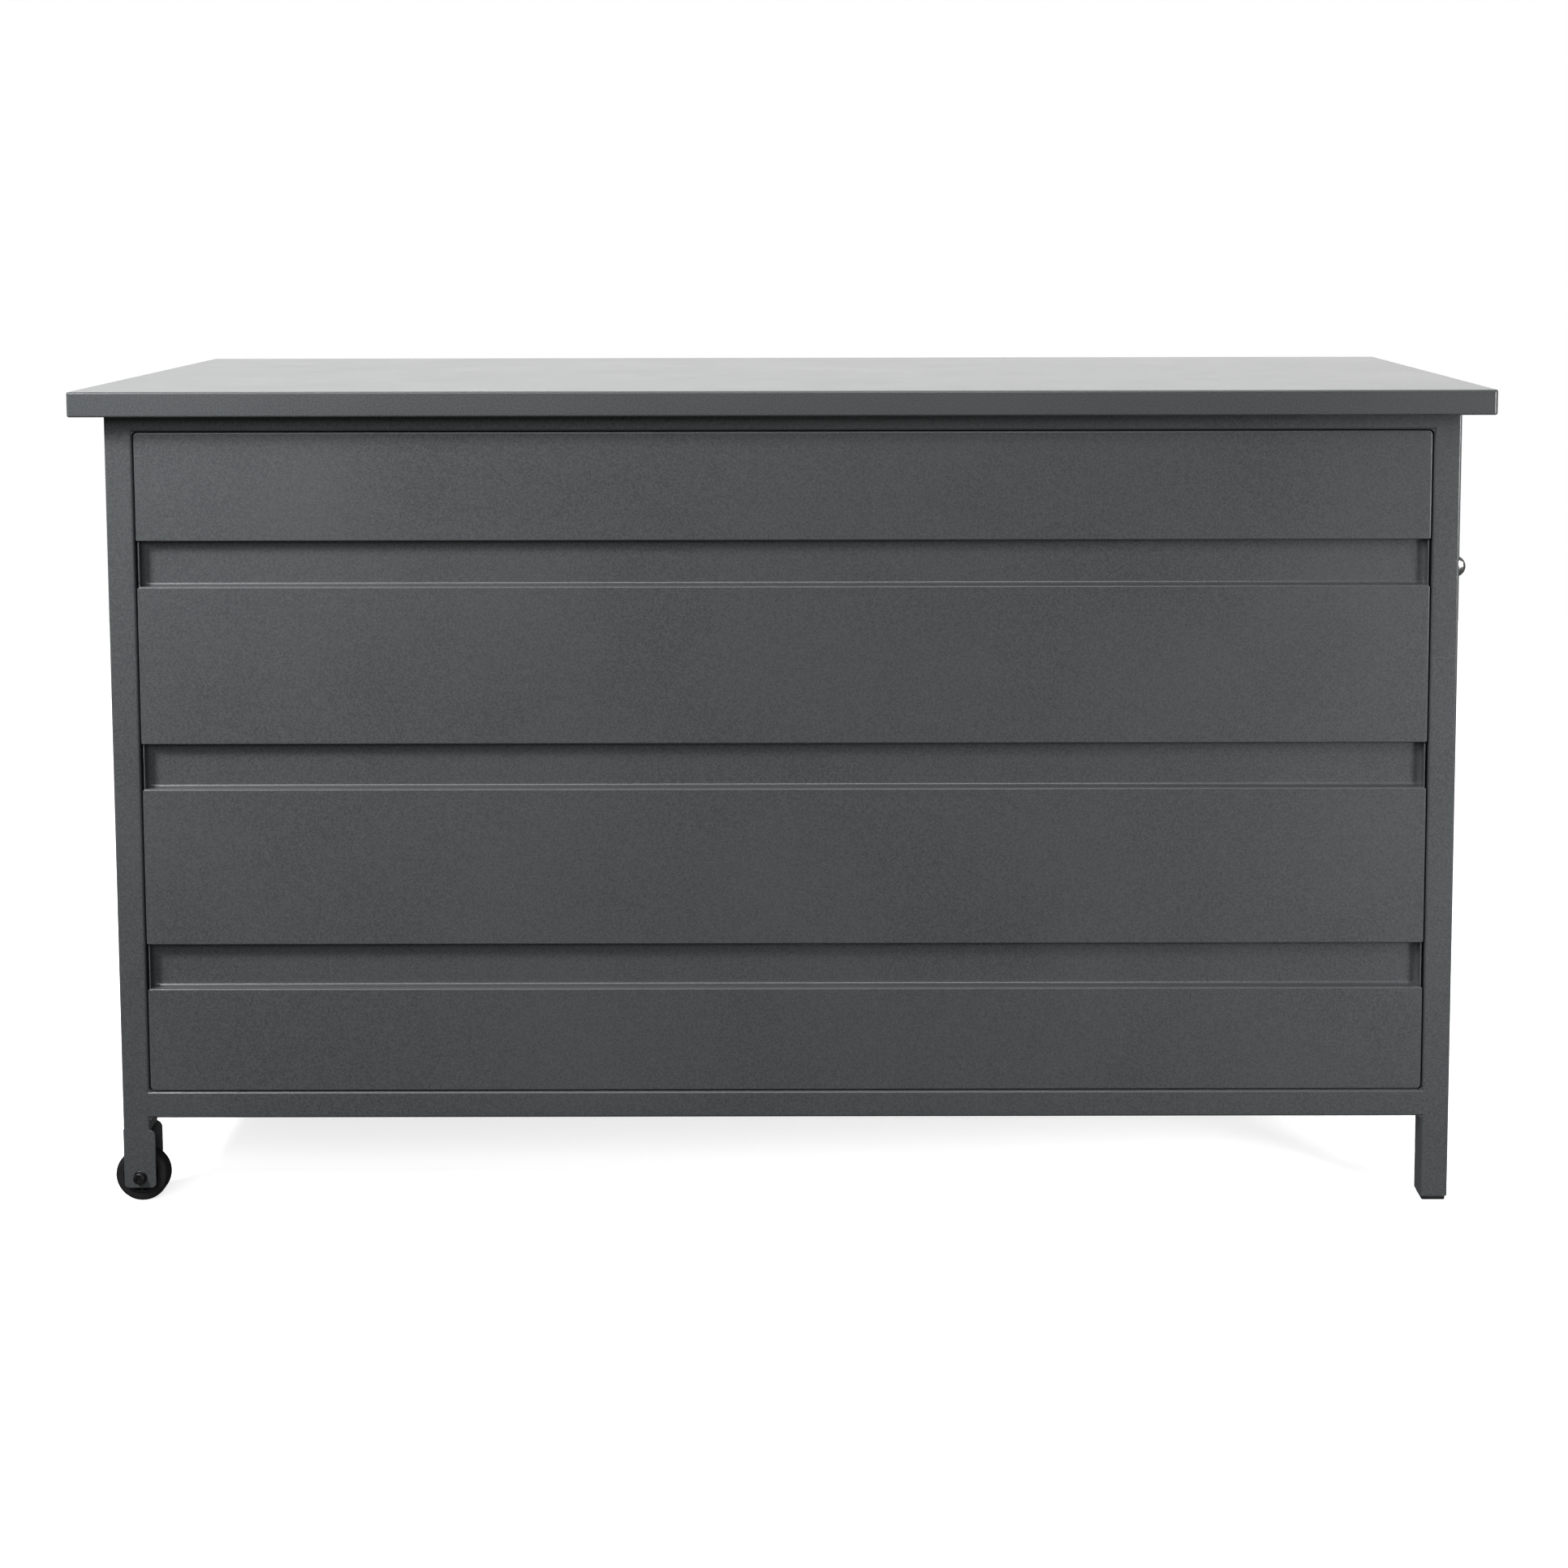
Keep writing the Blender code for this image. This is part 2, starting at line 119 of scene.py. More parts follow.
NUT_FACE_RADIUS = 0.85 * NUT_RADIUS
FLANGE_EDGE = 0.4 * MM
HEAD_EDGE = 0.5 * MM
SEAT_GAP = 0.1 * MM
THREAD_CHAMFER = 0.6 * MM
THREAD_END = 1 * MM
GLIDE_EDGE = 1.6 * MM

# Handle
POST_RADIUS = 6 * MM
POST_FOOT_RADIUS = 11 * MM
POST_FOOT = 3 * MM
FOOT_EDGE = 0.8 * MM
FOOT_FILLET = 1.5 * MM
CROWN = 4 * MM

# Camera, in degrees and as Blender's lens and shift
CAMERA_PLACE = (0.0555, -2.807, 1.083)
CAMERA_PITCH = -4.85
CAMERA_ROLL = -0.103
CAMERA_LENS = 54.45
CAMERA_SHIFT = (-0.0388, -0.2329)

# Studio: how bright the room is above and below the horizon, the floor's half width and glow, and the soft
# boxes as name, place, target, size, watts and the angle that their light spreads over in degrees
ROOM_ABOVE = 0.13
ROOM_BELOW = 0.08
FLOOR_SIZE = 3.5
FLOOR_GLOW = 0.75
SOFT_BOXES = (
    ("key", (-0.5, -4.3, 2.4), (0.0, 0.0, 0.5), (3.2, 1.6), 96, 180),
    ("wing_left", (-1.7, -1.4, 1.9), (-0.6, 0.0, 0.6), (0.6, 0.6), 29, 110),
    ("wing_right", (2.1, -1.8, 0.75), (0.85, 0.0, 0.35), (0.6, 0.6), 5, 50),
    ("overhead", (0.0, 0.0, 3.4), (0.0, 0.0, 0.0), (3.0, 2.0), 60, 180),
    ("backdrop", (0.0, 3.6, 1.3), (0.0, 0.0, 1.3), (8.0, 2.6), 62, 180),
)


# ---------------------------------------------------------------- materials


def principled(name, color, roughness, metallic=0.0):
    """A new material and its tree, with the values that are the same all over set on the shader itself."""
    material = bpy.data.materials.new(name)
    material.use_nodes = True
    material.diffuse_color = (*color, 1)
    shader = material.node_tree.nodes["Principled BSDF"]
    shader.inputs["Base Color"].default_value = (*color, 1)
    shader.inputs["Roughness"].default_value = roughness
    shader.inputs["Metallic"].default_value = metallic
    return material, material.node_tree, shader


def noise(tree, scale, detail=2.0, stretch=(1, 1, 1)):
    """Noise in the piece's own coordinates, so that it moves with the piece."""
    place = tree.nodes.new("ShaderNodeTexCoord")
    mapping = tree.nodes.new("ShaderNodeMapping")
    texture = tree.nodes.new("ShaderNodeTexNoise")
    mapping.inputs["Scale"].default_value = stretch
    texture.inputs["Scale"].default_value = scale
    texture.inputs["Detail"].default_value = detail
    tree.links.new(place.outputs["Object"], mapping.inputs["Vector"])
    tree.links.new(mapping.outputs["Vector"], texture.inputs["Vector"])
    return texture.outputs["Fac"]


def cells(tree, scale):
    """Voronoi cells in the piece's own coordinates, as one random grey for each cell."""
    place = tree.nodes.new("ShaderNodeTexCoord")
    texture = tree.nodes.new("ShaderNodeTexVoronoi")
    texture.inputs["Scale"].default_value = scale
    tree.links.new(place.outputs["Object"], texture.inputs["Vector"])
    return texture.outputs["Color"]


def spread(tree, value, low, high, start=0.3, end=0.7):
    """Value from start to end becomes low to high."""
    node = tree.nodes.new("ShaderNodeMapRange")
    node.inputs["From Min"].default_value = start
    node.inputs["From Max"].default_value = end
    node.inputs["To Min"].default_value = low
    node.inputs["To Max"].default_value = high
    tree.links.new(value, node.inputs["Value"])
    return node.outputs["Result"]


def blended(tree, factor, one, two):
    """Colour one where the factor is 0 and two where it is 1. Either may be a colour or an output."""
    node = tree.nodes.new("ShaderNodeMix")
    node.data_type = "RGBA"
    tree.links.new(factor, node.inputs["Factor"])
    for socket, colour in ((node.inputs[6], one), (node.inputs[7], two)):
        if isinstance(colour, tuple):
            socket.default_value = (*colour, 1)
        else:
            tree.links.new(colour, socket)
    return node.outputs[2]


def relief(tree, shader, *layers):
    """Bump from layers of (height, strength, distance), each on top of the one before."""
    normal = None
    for height, strength, distance in layers:
        node = tree.nodes.new("ShaderNodeBump")
        node.inputs["Strength"].default_value = strength
        node.inputs["Distance"].default_value = distance
        tree.links.new(height, node.inputs["Height"])
        if normal:
            tree.links.new(normal, node.inputs["Normal"])
        normal = node.outputs["Normal"]
    tree.links.new(normal, shader.inputs["Normal"])


def powder_coat():
    """Charcoal fine-texture powder coat: a pebbled film, faint clouds in tone and gloss, rubbed smudges."""
    material, tree, shader = principled("powder_coat", (0.052, 0.056, 0.058), 0.5)
    grain = noise(tree, 620, 3)
    clouds = noise(tree, 5.5, 5)
    smudges = noise(tree, 19, 6)
    pebbles = spread(tree, grain, 0, 1, 0.35, 0.65)
    film = blended(tree, pebbles, (0.038, 0.042, 0.044), (0.068, 0.072, 0.074))
    worn = blended(tree, spread(tree, clouds, 0, 0.35), film, (0.070, 0.074, 0.076))
    tree.links.new(worn, shader.inputs["Base Color"])
    gloss = tree.nodes.new("ShaderNodeMath")
    gloss.operation = "ADD"
    tree.links.new(spread(tree, clouds, 0.38, 0.46), gloss.inputs[0])
    tree.links.new(spread(tree, smudges, -0.03, 0.05), gloss.inputs[1])
    tree.links.new(gloss.outputs[0], shader.inputs["Roughness"])
    relief(tree, shader, (clouds, 0.05, 1.5 * MM), (grain, 0.16, 0.12 * MM))
    shader.inputs["Specular IOR Level"].default_value = 0.1
    shader.inputs["Coat Weight"].default_value = 1.0
    shader.inputs["Coat Roughness"].default_value = 0.24
    return material


def zinc():
    """Bright zinc on cold-formed steel, with a faint spangle and rolling lines along its length."""
    material, tree, shader = principled("zinc_plate", (0.66, 0.68, 0.70), 0.36, 0.7)
    spangle = cells(tree, 160)
    lines = noise(tree, 60, 3, (14, 0.3, 14))
    tint = blended(tree, spangle, (0.58, 0.60, 0.63), (0.72, 0.73, 0.74))
    tree.links.new(tint, shader.inputs["Base Color"])
    tree.links.new(spread(tree, lines, 0.30, 0.46), shader.inputs["Roughness"])
    relief(tree, shader, (lines, 0.10, 0.1 * MM))
    return material


def stainless():
    """Polished stainless steel, with a trace of lengthwise polishing lines."""
    material, tree, shader = principled("stainless_steel", (0.72, 0.71, 0.69), 0.14, 1.0)
    lines = noise(tree, 420, 2, (1, 0.05, 1))
    clouds = noise(tree, 40, 3)
    tint = blended(tree, spread(tree, clouds, 0, 1), (0.66, 0.65, 0.63), (0.76, 0.75, 0.73))
    tree.links.new(tint, shader.inputs["Base Color"])
    tree.links.new(spread(tree, lines, 0.09, 0.20), shader.inputs["Roughness"])
    relief(tree, shader, (lines, 0.05, 0.05 * MM))
    return material


def rubber():
    """Solid black rubber, dusty and matt, with a scuffed surface."""
    material, tree, shader = principled("tyre_rubber", (0.008, 0.008, 0.009), 0.8)
    dust = noise(tree, 130, 5)
    fine = noise(tree, 1400, 2)
    tint = blended(tree, spread(tree, dust, 0, 0.6), (0.006, 0.006, 0.007), (0.016, 0.0155, 0.015))
    tree.links.new(tint, shader.inputs["Base Color"])
    shader.inputs["Specular IOR Level"].default_value = 0.25
    tree.links.new(spread(tree, dust, 0.68, 0.88), shader.inputs["Roughness"])
    relief(tree, shader, (dust, 0.2, 0.3 * MM), (fine, 0.2, 0.1 * MM))
    return material


def plastic():
    """Moulded black plastic with a spark-eroded grain."""
    material, tree, shader = principled("moulded_plastic", (0.010, 0.010, 0.011), 0.5)
    fine = noise(tree, 1100, 2)
    clouds = noise(tree, 60, 4)
    tint = blended(tree, spread(tree, clouds, 0, 1), (0.008, 0.008, 0.009), (0.014, 0.014, 0.015))
    tree.links.new(tint, shader.inputs["Base Color"])
    shader.inputs["Specular IOR Level"].default_value = 0.3
    tree.links.new(spread(tree, clouds, 0.42, 0.6), shader.inputs["Roughness"])
    relief(tree, shader, (fine, 0.25, 0.1 * MM))
    return material


def black_oxide():
    """Black-oxide steel screws, with a little bare metal showing through."""
    material, tree, shader = principled("black_oxide", (0.07, 0.07, 0.072), 0.3, 0.95)
    rubbed = noise(tree, 300, 5)
    bare = spread(tree, rubbed, 0, 0.7, 0.45, 0.8)
    tint = blended(tree, bare, (0.05, 0.05, 0.052), (0.28, 0.28, 0.28))
    tree.links.new(tint, shader.inputs["Base Color"])
    tree.links.new(spread(tree, rubbed, 0.22, 0.36), shader.inputs["Roughness"])
    relief(tree, shader, (rubbed, 0.1, 0.1 * MM))
    return material


MATERIALS = {
    "body_paint": powder_coat(),
    "slide_zinc": zinc(),
    "stainless": stainless(),
    "tyre_rubber": rubber(),
    "black_plastic": plastic(),
    "black_steel": black_oxide(),
}


# ---------------------------------------------------------------- mesh tools


def box_mesh(low, high):
    """A plain box between two corners, as a bmesh with its faces pointing out."""
    low = Vector(low)
    high = Vector(high)
    bm = bmesh.new()
    bmesh.ops.create_cube(bm, size=1)
    bmesh.ops.scale(bm, vec=high - low, verts=bm.verts)
    bmesh.ops.translate(bm, vec=(low + high) / 2, verts=bm.verts)
    bm.normal_update()
    return bm


def open_up(bm, *directions):
    """Takes away the faces that look in these directions."""
    gone = [f for f in bm.faces if any(f.normal.dot(Vector(d)) > 0.9 for d in directions)]
    bmesh.ops.delete(bm, geom=gone, context="FACES")


def edges_along(bm, axis, keep=lambda middle: True):
    """The edges parallel to an axis whose middle passes the test."""
    found = []
    for edge in bm.edges:
        one, two = edge.verts
        run = (two.co - one.co).normalized()
        if abs(run[axis]) > 0.99 and keep((one.co + two.co) / 2):
            found.append(edge)
    return found


def folds(bm):
    """The edges between two faces that meet at more than FOLD_ANGLE."""
    return [e for e in bm.edges if len(e.link_faces) == 2 and e.calc_face_angle(0) > FOLD_ANGLE]


def round_off(bm, edges, radius, steps=4):
    bmesh.ops.bevel(
        bm,
        geom=edges,
        offset=radius,
        offset_type="OFFSET",
        segments=steps,
        profile=0.5,
        affect="EDGES",
        clamp_overlap=False,
    )
    bm.normal_update()


def extruded(outline, run):
    """A closed solid: an outline of points, carried along a vector."""
    bm = bmesh.new()
    face = bm.faces.new([bm.verts.new(point) for point in outline])
    moved = bmesh.ops.extrude_face_region(bm, geom=[face])
    tops = [v for v in moved["geom"] if isinstance(v, bmesh.types.BMVert)]
    bmesh.ops.translate(bm, vec=run, verts=tops)
    bmesh.ops.recalc_face_normals(bm, faces=bm.faces)
    return bm


def lofted(loops, first_cap=True, last_cap=True, ring=False, closed=True):
    """A surface over loops of points, one after another. A ring joins its last loop to its first, and loops
    that aren't closed make a surface with two free edges."""
    bm = bmesh.new()
    loops = [[bm.verts.new(point) for point in loop] for loop in loops]
    if first_cap and not ring:
        bm.faces.new(loops[0])
    if last_cap and not ring:
        bm.faces.new(loops[-1])
    count = len(loops[0])
    for one, two in zip(loops, loops[1:] + loops[:1] if ring else loops[1:]):
        for step in range(count if closed else count - 1):
            after = (step + 1) % count
            bm.faces.new((one[step], one[after], two[after], two[step]))
    bmesh.ops.recalc_face_normals(bm, faces=bm.faces)
    return bm


def quarter(steps, first=0.0):
    """Angles of a quarter turn from a first angle, in equal steps."""
    return [first + math.pi / 2 * step / steps for step in range(steps + 1)]


def pan(low, high, outward, bend, corners, fold, top=True, turn_in=0.0):
    """The outer surface of a folded pan: a face that looks outward, bent edges all round, and sides that go
    back by the fold. corners are the radii of the face's corners, going round from the low side's upper one
    to the low side's lower one, then the high side's lower and upper ones. Without a top there is no bend
    along the upper edge. turn_in is a return at the back of the sides."""
    outward = Vector(outward)
    axis = max(range(3), key=lambda k: abs(outward[k]))
    across, up = [k for k in range(3) if k != axis]
    face = high[axis] if outward[axis] > 0 else low[axis]
    back = -1 if outward[axis] > 0 else 1
    bent = [(bend * (1 - math.cos(a)), bend * (1 - math.sin(a))) for a in quarter(BEND_STEPS)]
    stations = [(0.0, fold)]
    if turn_in:
        stations = [(turn_in, fold)] + [(depth, fold - inset) for inset, depth in bent]
    stations += bent
    turns = (
        (low, high, -1, 1, 90),
        (low, low, -1, -1, 180),
        (high, low, 1, -1, 270),
        (high, high, 1, 1, 0),
    )
    loops = []
    for inset, depth in stations:
        loop = []
        for (side, level, right, rise, start), corner in zip(turns, corners):
            if not top and rise > 0:
                points = [(side[across] - right * inset, level[up])]
            else:
                radius = max(corner - inset, SMALLEST_CORNER)
                middle_across = side[across] - right * (inset + radius)
                middle_up = level[up] - rise * (inset + radius)
                points = [
                    (middle_across + radius * math.cos(a), middle_up + radius * math.sin(a))
                    for a in quarter(CORNER_STEPS, math.radians(start))
                ]
            for place in points:
                point = Vector()
                point[axis] = face + back * depth
                point[across], point[up] = place
                loop.append(point)
        loops.append(loop)
    bm = lofted(loops, first_cap=False, closed=top)
    largest = max(bm.faces, key=lambda f: f.calc_area())
    if largest.normal.dot(outward) < 0:
        bmesh.ops.reverse_faces(bm, faces=bm.faces)
    return bm


def turned(stations, at, axis, steps=48, ring=False):
    """A round solid about an axis. Each station is (distance along the axis, radius), and a radius may be a
    function of the angle."""
    turn = Vector((0, 0, 1)).rotation_difference(Vector(axis)).to_matrix()
    loops = []
    for along, radius in stations:
        loop = []
        for step in range(steps):
            angle = 2 * math.pi * step / steps
            r = radius(angle) if callable(radius) else radius
            loop.append(Vector(at) + turn @ Vector((r * math.cos(angle), r * math.sin(angle), along)))
        loops.append(loop)
    return lofted(loops, ring=ring)


def hexagon(radius):
    """Radius of a hexagon at an angle, from its radius across corners."""

    def at(angle):
        flat = radius * math.cos(math.pi / 6)
        return flat / math.cos((angle % (math.pi / 3)) - math.pi / 6)

    return at


def joined(meshes):
    """Several bmeshes as one."""
    whole = bmesh.new()
    for part in meshes:
        mesh = bpy.data.meshes.new("part")
        part.to_mesh(mesh)
        part.free()
        whole.from_mesh(mesh)
        bpy.data.meshes.remove(mesh)
    return whole


def piece(name, bm, slot, body, nodes=(), thickness=0.0):
    """Makes a bmesh into a piece that rides on a body. A thickness makes sheet metal of an open surface, to
    the inside of its faces, with its cut edges dulled."""
    mesh = bpy.data.meshes.new(name)
    bm.to_mesh(mesh)
    bm.free()
    mesh.shade_smooth()
    mesh.set_sharp_from_angle(angle=SHARP_ANGLE)
    mesh.materials.append(MATERIALS[slot])
    obj = bpy.data.objects.new(name, mesh)
    bpy.context.scene.collection.objects.link(obj)
    if thickness:
        shell = obj.modifiers.new("sheet", "SOLIDIFY")
        shell.thickness = thickness
        shell.offset = -1
        shell.use_even_offset = True
        dull = obj.modifiers.new("cut_edges", "BEVEL")
        dull.width = CUT_EDGE
        dull.segments = 2
        dull.limit_method = "ANGLE"
        dull.angle_limit = CUT_ANGLE
    flat = obj.modifiers.new("flat_faces", "WEIGHTED_NORMAL")
    flat.keep_sharp = True
    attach(obj, body)
    if nodes:
        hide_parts(*nodes)


# ---------------------------------------------------------------- welded frame


def tube(node, axis, longer_low=0.0, longer_high=0.0):
    """One square tube of the frame, run a little way into its neighbours as if welded and ground flush."""
    low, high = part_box(node)
    low[axis] -= longer_low
    high[axis] += longer_high
    bm = box_mesh(low, high)
    round_off(bm, edges_along(bm, axis), TUBE_CORNER)
    piece("painted_" + node, bm, "body_paint", "cabinet", [node])


def frame_tubes():
    for side in ("left", "right"):
        for end in ("front", "rear"):
            leg = f"leg_{end}_{side}"
            to_fork = 0.0
            if side == "left":
                to_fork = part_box(leg)[0].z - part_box(f"wheel_fork_{end}")[1].z
            tube(leg, 2, longer_low=to_fork)
    for level in ("base", "top"):
        for end in ("front", "rear"):
            tube(f"{level}_rail_{end}", 0, TUBE_CORNER, TUBE_CORNER)
        for side in ("left", "right"):
            tube(f"{level}_rail_{side}", 1, TUBE_CORNER, TUBE_CORNER)


def weld_fillet(corner, across, up, inward):
    """A small hollow fillet in one corner of the frame, from the outer face to the back of the tube."""
    corner = Vector(corner)
    across = Vector(across)
    up = Vector(up)
    outline = [corner - (across + up) * WELD_SETBACK]
    for a in quarter(BEND_STEPS):
        outline.append(corner + WELD_RADIUS * ((1 - math.sin(a)) * across + (1 - math.cos(a)) * up))
    return extruded(outline, Vector(inward) * (TUBE - 2 * WELD_SETBACK))


def weld_fillets():
    """One fillet in every corner that a rail makes with a leg, on all four faces."""
    base_low, base_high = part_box("base_rail_front")
    top_low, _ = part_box("top_rail_front")
    left_low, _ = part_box("leg_front_left")
    _, right_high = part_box("leg_rear_right")
    levels = ((base_low.z, -1), (base_high.z, 1), (top_low.z, -1))
    parts = []
    for height, up in levels:
        for y, inward in ((left_low.y + WELD_SETBACK, 1), (right_high.y - WELD_SETBACK, -1)):
            for x, across in ((left_low.x + TUBE, 1), (right_high.x - TUBE, -1)):
                corner = (x, y, height)
                parts.append(weld_fillet(corner, (across, 0, 0), (0, 0, up), (0, inward, 0)))
        for x, inward in ((left_low.x + WELD_SETBACK, 1), (right_high.x - WELD_SETBACK, -1)):
            for y, across in ((left_low.y + TUBE, 1), (right_high.y - TUBE, -1)):
                corner = (x, y, height)
                parts.append(weld_fillet(corner, (0, across, 0), (0, 0, up), (inward, 0, 0)))
    piece("weld_fillets", joined(parts), "body_paint", "cabinet")


def skin_panel(node, outward):
    """A flush panel, bent inward all round where it is welded between the tubes."""
    low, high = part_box(node)
    bm = pan(low, high, outward, PAN_BEND, [PAN_BEND] * 4, PANEL_RETURN)
    piece("skin_" + node, bm, "body_paint", "cabinet", [node], thickness=SHEET)


def worktop():
    """The folded top: small round edges, welded corners, and a return that turns in under the skirt."""
    low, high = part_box("worktop")
    bm = pan(low, high, (0, 0, 1), TOP_EDGE, [TOP_CORNER] * 4, high.z - low.z, turn_in=TOP_RETURN)
    piece("folded_worktop", bm, "body_paint", "cabinet", ["worktop"], thickness=TOP_SHEET)


# ---------------------------------------------------------------- drawers


def drawer_front(number):
    """The folded front. The outer corners of the top and bottom drawers clear the welds of the frame. Over
    every front but the top one the same sheet goes on as the finger channel."""
    node = f"drawer_{number}_front"
    nodes = [node]
    low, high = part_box(node)
    fold = high.y - low.y
    above = OUTER_FRONT_CORNER if number == 1 else INNER_FRONT_CORNER
    below = OUTER_FRONT_CORNER if number == 4 else INNER_FRONT_CORNER
    corners = (above, below, below, above)
    if number == 1:
        bm = pan(low, high, (0, -1, 0), PAN_BEND, corners, fold)
    else:
        nodes.append(f"drawer_{number}_channel")
        _, channel_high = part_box(nodes[1])
        ledge = high.z
        high.z -= PAN_BEND
        bm = pan(low, high, (0, -1, 0), PAN_BEND, corners, fold, top=False)
        finger_channel(bm, low.y, channel_high.y - SHEET, ledge, channel_high.z)
        channel_ends(number, low, high, channel_high, ledge)
    piece(f"folded_drawer_{number}_front", bm, "body_paint", f"drawer_{number}", nodes, thickness=SHEET)


def finger_channel(bm, front, strip, ledge, top):
    """Carries the top edge of a front back over the ledge and up the strip, with a bend at each."""
    edge = max(edges_along(bm, 0, lambda m: m.y < front + CUT_EDGE), key=lambda e: e.verts[0].co.z)
    path = []
    for a in quarter(BEND_STEPS)[1:]:
        path.append((front + PAN_BEND * (1 - math.cos(a)), ledge - PAN_BEND * (1 - math.sin(a))))
    for a in quarter(BEND_STEPS):
        path.append((strip - CHANNEL_BEND * (1 - math.sin(a)), ledge + CHANNEL_BEND * (1 - math.cos(a))))
    path.append((strip, top))
    for y, z in path:
        made = bmesh.ops.extrude_edge_only(bm, edges=[edge])["geom"]
        edges = [e for e in made if isinstance(e, bmesh.types.BMEdge) and all(v in made for v in e.verts)]
        edge = next(e for e in edges if e.is_boundary)
        for vert in edge.verts:
            vert.co.y = y
            vert.co.z = z
    bmesh.ops.recalc_face_normals(bm, faces=bm.faces)
    bm.normal_update()
    face = max(bm.faces, key=lambda f: f.calc_area())
    if face.normal.y > 0:
        bmesh.ops.reverse_faces(bm, faces=bm.faces)


def channel_ends(number, low, high, channel_high, ledge):
    """The two end walls of a finger channel, each with a round corner against the strip."""
    strip = channel_high.y - SHEET
    parts = []
    for side, outer in ((1, low.x + PAN_BEND), (-1, high.x - PAN_BEND)):
        wall = outer + side * SHEET
        outline = [(outer, low.y + PAN_BEND), (wall, low.y + PAN_BEND)]
        for a in quarter(BEND_STEPS):
            along = CHANNEL_END_BEND * (1 - math.cos(a))
            outline.append((wall + side * along, strip - CHANNEL_END_BEND * (1 - math.sin(a))))
        outline.append((outer, strip))
        points = [(x, y, ledge - SHEET / 2) for x, y in outline]
        parts.append(extruded(points, (0, 0, channel_high.z - ledge + SHEET / 2)))
    piece(f"drawer_{number}_channel_ends", joined(parts), "body_paint", f"drawer_{number}")


def tray(number):
    """The open tray behind the front."""
    node = f"drawer_{number}_tray"
    low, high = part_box(node)
    bm = box_mesh(low, high)
    open_up(bm, (0, 0, 1))
    round_off(bm, folds(bm), TRAY_BEND)
    piece(f"bent_drawer_{number}_tray", bm, "body_paint", f"drawer_{number}", [node], thickness=SHEET)


def slide_member(low, high, open_side):
    """A cold-formed C section along Y, open towards open_side (-1 or 1) in X."""
    bm = box_mesh(low, high)
    open_up(bm, (open_side, 0, 0), (0, 1, 0), (0, -1, 0))
    round_off(bm, folds(bm), SLIDE_BEND)
    return bm


def slide(number, side):
    """The three members of one telescopic slide. The inner one is screwed to the tray."""
    outward = -1 if side == "left" else 1
    for member, body in (("outer", "cabinet"), ("middle", f"drawer_{number}_runners")):
        node = f"slide_{number}_{side}_{member}"
        bm = slide_member(*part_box(node), -outward)
        piece("formed_" + node, bm, "slide_zinc", body, [node], thickness=SLIDE_STEEL)
    low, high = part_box(f"slide_{number}_{side}_middle")
    tray_low, tray_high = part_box(f"drawer_{number}_tray")
    web = (tray_low.x if side == "left" else tray_high.x) + outward * SLIDE_GAP
    height = (low.z + high.z) / 2
    edge = web + outward * INNER_SLIDE_DEPTH
    inner = slide_member(
        (min(web, edge), low.y, height - INNER_SLIDE_HEIGHT / 2),
        (max(web, edge), high.y, height + INNER_SLIDE_HEIGHT / 2),
        outward,
    )
    body = f"drawer_{number}"
    piece(f"slide_{number}_{side}_inner", inner, "slide_zinc", body, thickness=SLIDE_STEEL)
    rim = 0.4 * SCREW_HEIGHT
    socket = 0.5 * SCREW_RADIUS
    head = (
        (0.0, SCREW_RADIUS),
        (rim, SCREW_RADIUS),
        (2 * rim, 0.8 * SCREW_RADIUS),
        (SCREW_HEIGHT, 1.1 * socket),
        (SCREW_HEIGHT, hexagon(socket)),
        (rim, hexagon(socket)),
    )
    middle = (low.y + high.y) / 2
    screws = []
    for step in (-1, 0, 1):
        at = (web + outward * SLIDE_STEEL, middle + step * SCREW_PITCH, height)
        screws.append(turned(head, at, (outward, 0, 0), steps=24))
    piece(f"slide_{number}_{side}_screws", joined(screws), "slide_zinc", body)


# ---------------------------------------------------------------- wheels, feet and handle


def cheek(low, high, y):
    """One side plate of a fork: shoulder where it is wider than the leg, round bottom corners."""
    corners = (
        (low.x, high.z, 0.0),
        (high.x, high.z, FORK_SHOULDER),
        (high.x, low.z, FORK_CORNER),
        (low.x, low.z, FORK_CORNER),
    )
    middle = Vector(((low.x + high.x) / 2, y, (low.z + high.z) / 2))
    outline = []
    for x, z, radius in corners:
        right = 1 if x > middle.x else -1
        up = 1 if z > middle.z else -1
        arc = []
        for a in quarter(CORNER_STEPS) if radius else [0.0]:
            inset_x = radius * (1 - math.sin(a))
            inset_z = radius * (1 - math.cos(a))
            arc.append(Vector((x - right * inset_x, y, z - up * inset_z)))
        outline += arc if right == up else arc[::-1]
    bm = extruded(outline, (0, FORK_STEEL, 0))
    along_faces = [e for e in folds(bm) if e.verts[0].co.y == e.verts[1].co.y]
    rim = [e for e in along_faces if min(v.co.z for v in e.verts) < high.z]
    round_off(bm, rim, FORK_EDGE, 2)
    return bm


def fork(end):
    """The bracket that holds a wheel: two cheeks under a bridge, welded flush with the leg."""
    node = f"wheel_fork_{end}"
    low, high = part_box(node)
    parts = [cheek(low, high, low.y), cheek(low, high, high.y - FORK_STEEL)]
    bridge_low = (low.x, low.y + FORK_STEEL, high.z - FORK_STEEL)
    bridge_high = (high.x - FORK_SHOULDER, high.y - FORK_STEEL, high.z)
    parts.append(box_mesh(bridge_low, bridge_high))
    piece("welded_" + node, joined(parts), "body_paint", "cabinet", [node])


def shoulder_stations(along, out, radius, first):
    """Stations round a quarter turn from a first angle: 0 is along the axis, a right angle is outward."""
    turn = quarter(BEND_STEPS, first)
    return [(along + radius * math.cos(a), out + radius * math.sin(a)) for a in turn]


